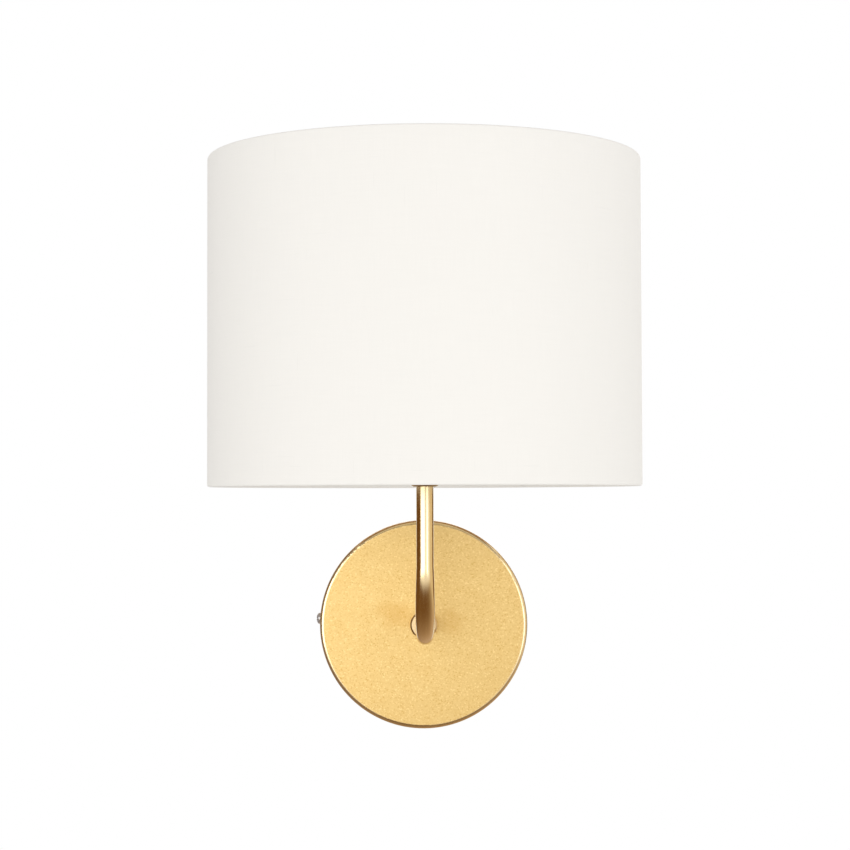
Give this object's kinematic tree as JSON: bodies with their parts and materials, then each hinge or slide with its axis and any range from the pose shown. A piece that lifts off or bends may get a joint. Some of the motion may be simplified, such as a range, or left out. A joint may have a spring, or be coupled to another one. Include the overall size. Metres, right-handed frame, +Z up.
{
  "type": "wall light with fabric drum shade",
  "caption": "Wall light: round wall plate, bent tube arm and an upright fabric drum shade over a small screw-cap bulb.",
  "frame": {"origin": "centre of the bracket's pair of wall slots, in the wall's plane", "axes": "+Z up, -Y out of the wall, +X to the right as seen from the room"},
  "size_m": [0.2, 0.255, 0.2762],
  "materials": {
    "gold_finish": "matt gold paint with a fine metallic grain",
    "zinc_steel": "zinc plated",
    "tinned_copper": "tinned",
    "contact_brass": "plain",
    "nickel_plate": "nickel plated, satin",
    "white_plastic": "moulded, satin",
    "brown_insulation": "extruded",
    "blue_insulation": "extruded",
    "green_yellow_insulation": "extruded, two colours",
    "black_glass": "fused glass",
    "clear_glass": "clear",
    "filament_wire": "drawn",
    "filament_coating": "silicone coated",
    "white_wire": "white powder coat",
    "shade_lining": "thin satin sheet",
    "shade_cloth": "off-white plain weave"
  },
  "bodies": {
    "root": {"backplate_cover": "gold_finish", "arm_tube": "gold_finish", "arm_root_collar": "gold_finish", "arm_top_collar": "gold_finish", "mounting_bracket": "zinc_steel", "cover_side_screw": "zinc_steel", "cover_locating_peg": "zinc_steel", "arm_stiffening_washer": "zinc_steel", "arm_star_washer": "zinc_steel", "arm_lock_nut": "zinc_steel", "terminal_block_screws": "zinc_steel", "terminal_block_fixing_screws": "zinc_steel", "earth_screw": "zinc_steel", "lampholder_terminal_screws": "zinc_steel", "earth_lug": "tinned_copper", "terminal_block_sleeves": "contact_brass", "lampholder_screw_shell": "contact_brass", "lampholder_centre_contact": "contact_brass", "terminal_block_body": "white_plastic", "wire_bush": "white_plastic", "lampholder_base": "white_plastic", "lampholder_skirt": "white_plastic", "lampholder_insert": "white_plastic", "live_wire": "brown_insulation", "neutral_wire": "blue_insulation", "earth_wire": "green_yellow_insulation"},
    "bulb": {"bulb_cap": "nickel_plate", "bulb_centre_contact": "nickel_plate", "bulb_insulator": "black_glass", "bulb_glass": "clear_glass", "bulb_stem": "clear_glass", "bulb_filament_wires": "filament_wire", "bulb_filaments": "filament_coating"},
    "shade_ring": {"shade_ring": "white_plastic"},
    "shade": {"shade_fabric": "shade_cloth", "shade_liner": "shade_lining", "shade_top_ring": "white_wire", "shade_bottom_ring": "white_wire", "shade_fitter_ring": "white_wire", "shade_fitter_arms": "white_wire"}
  },
  "joints": [
    {"name": "bulb_lift_out", "type": "slide", "parent": "root", "child": "bulb", "axis": [0, 0, 1], "range_m": [0, 0.12]},
    {"name": "shade_ring_lift_off", "type": "slide", "parent": "root", "child": "shade_ring", "axis": [0, 0, 1], "range_m": [0, 0.1]},
    {"name": "shade_turn", "type": "hinge", "parent": "shade_ring", "child": "shade", "pos_m": [0, -0.155, 0.071], "axis": [0, 0, 1], "continuous": true}
  ]
}
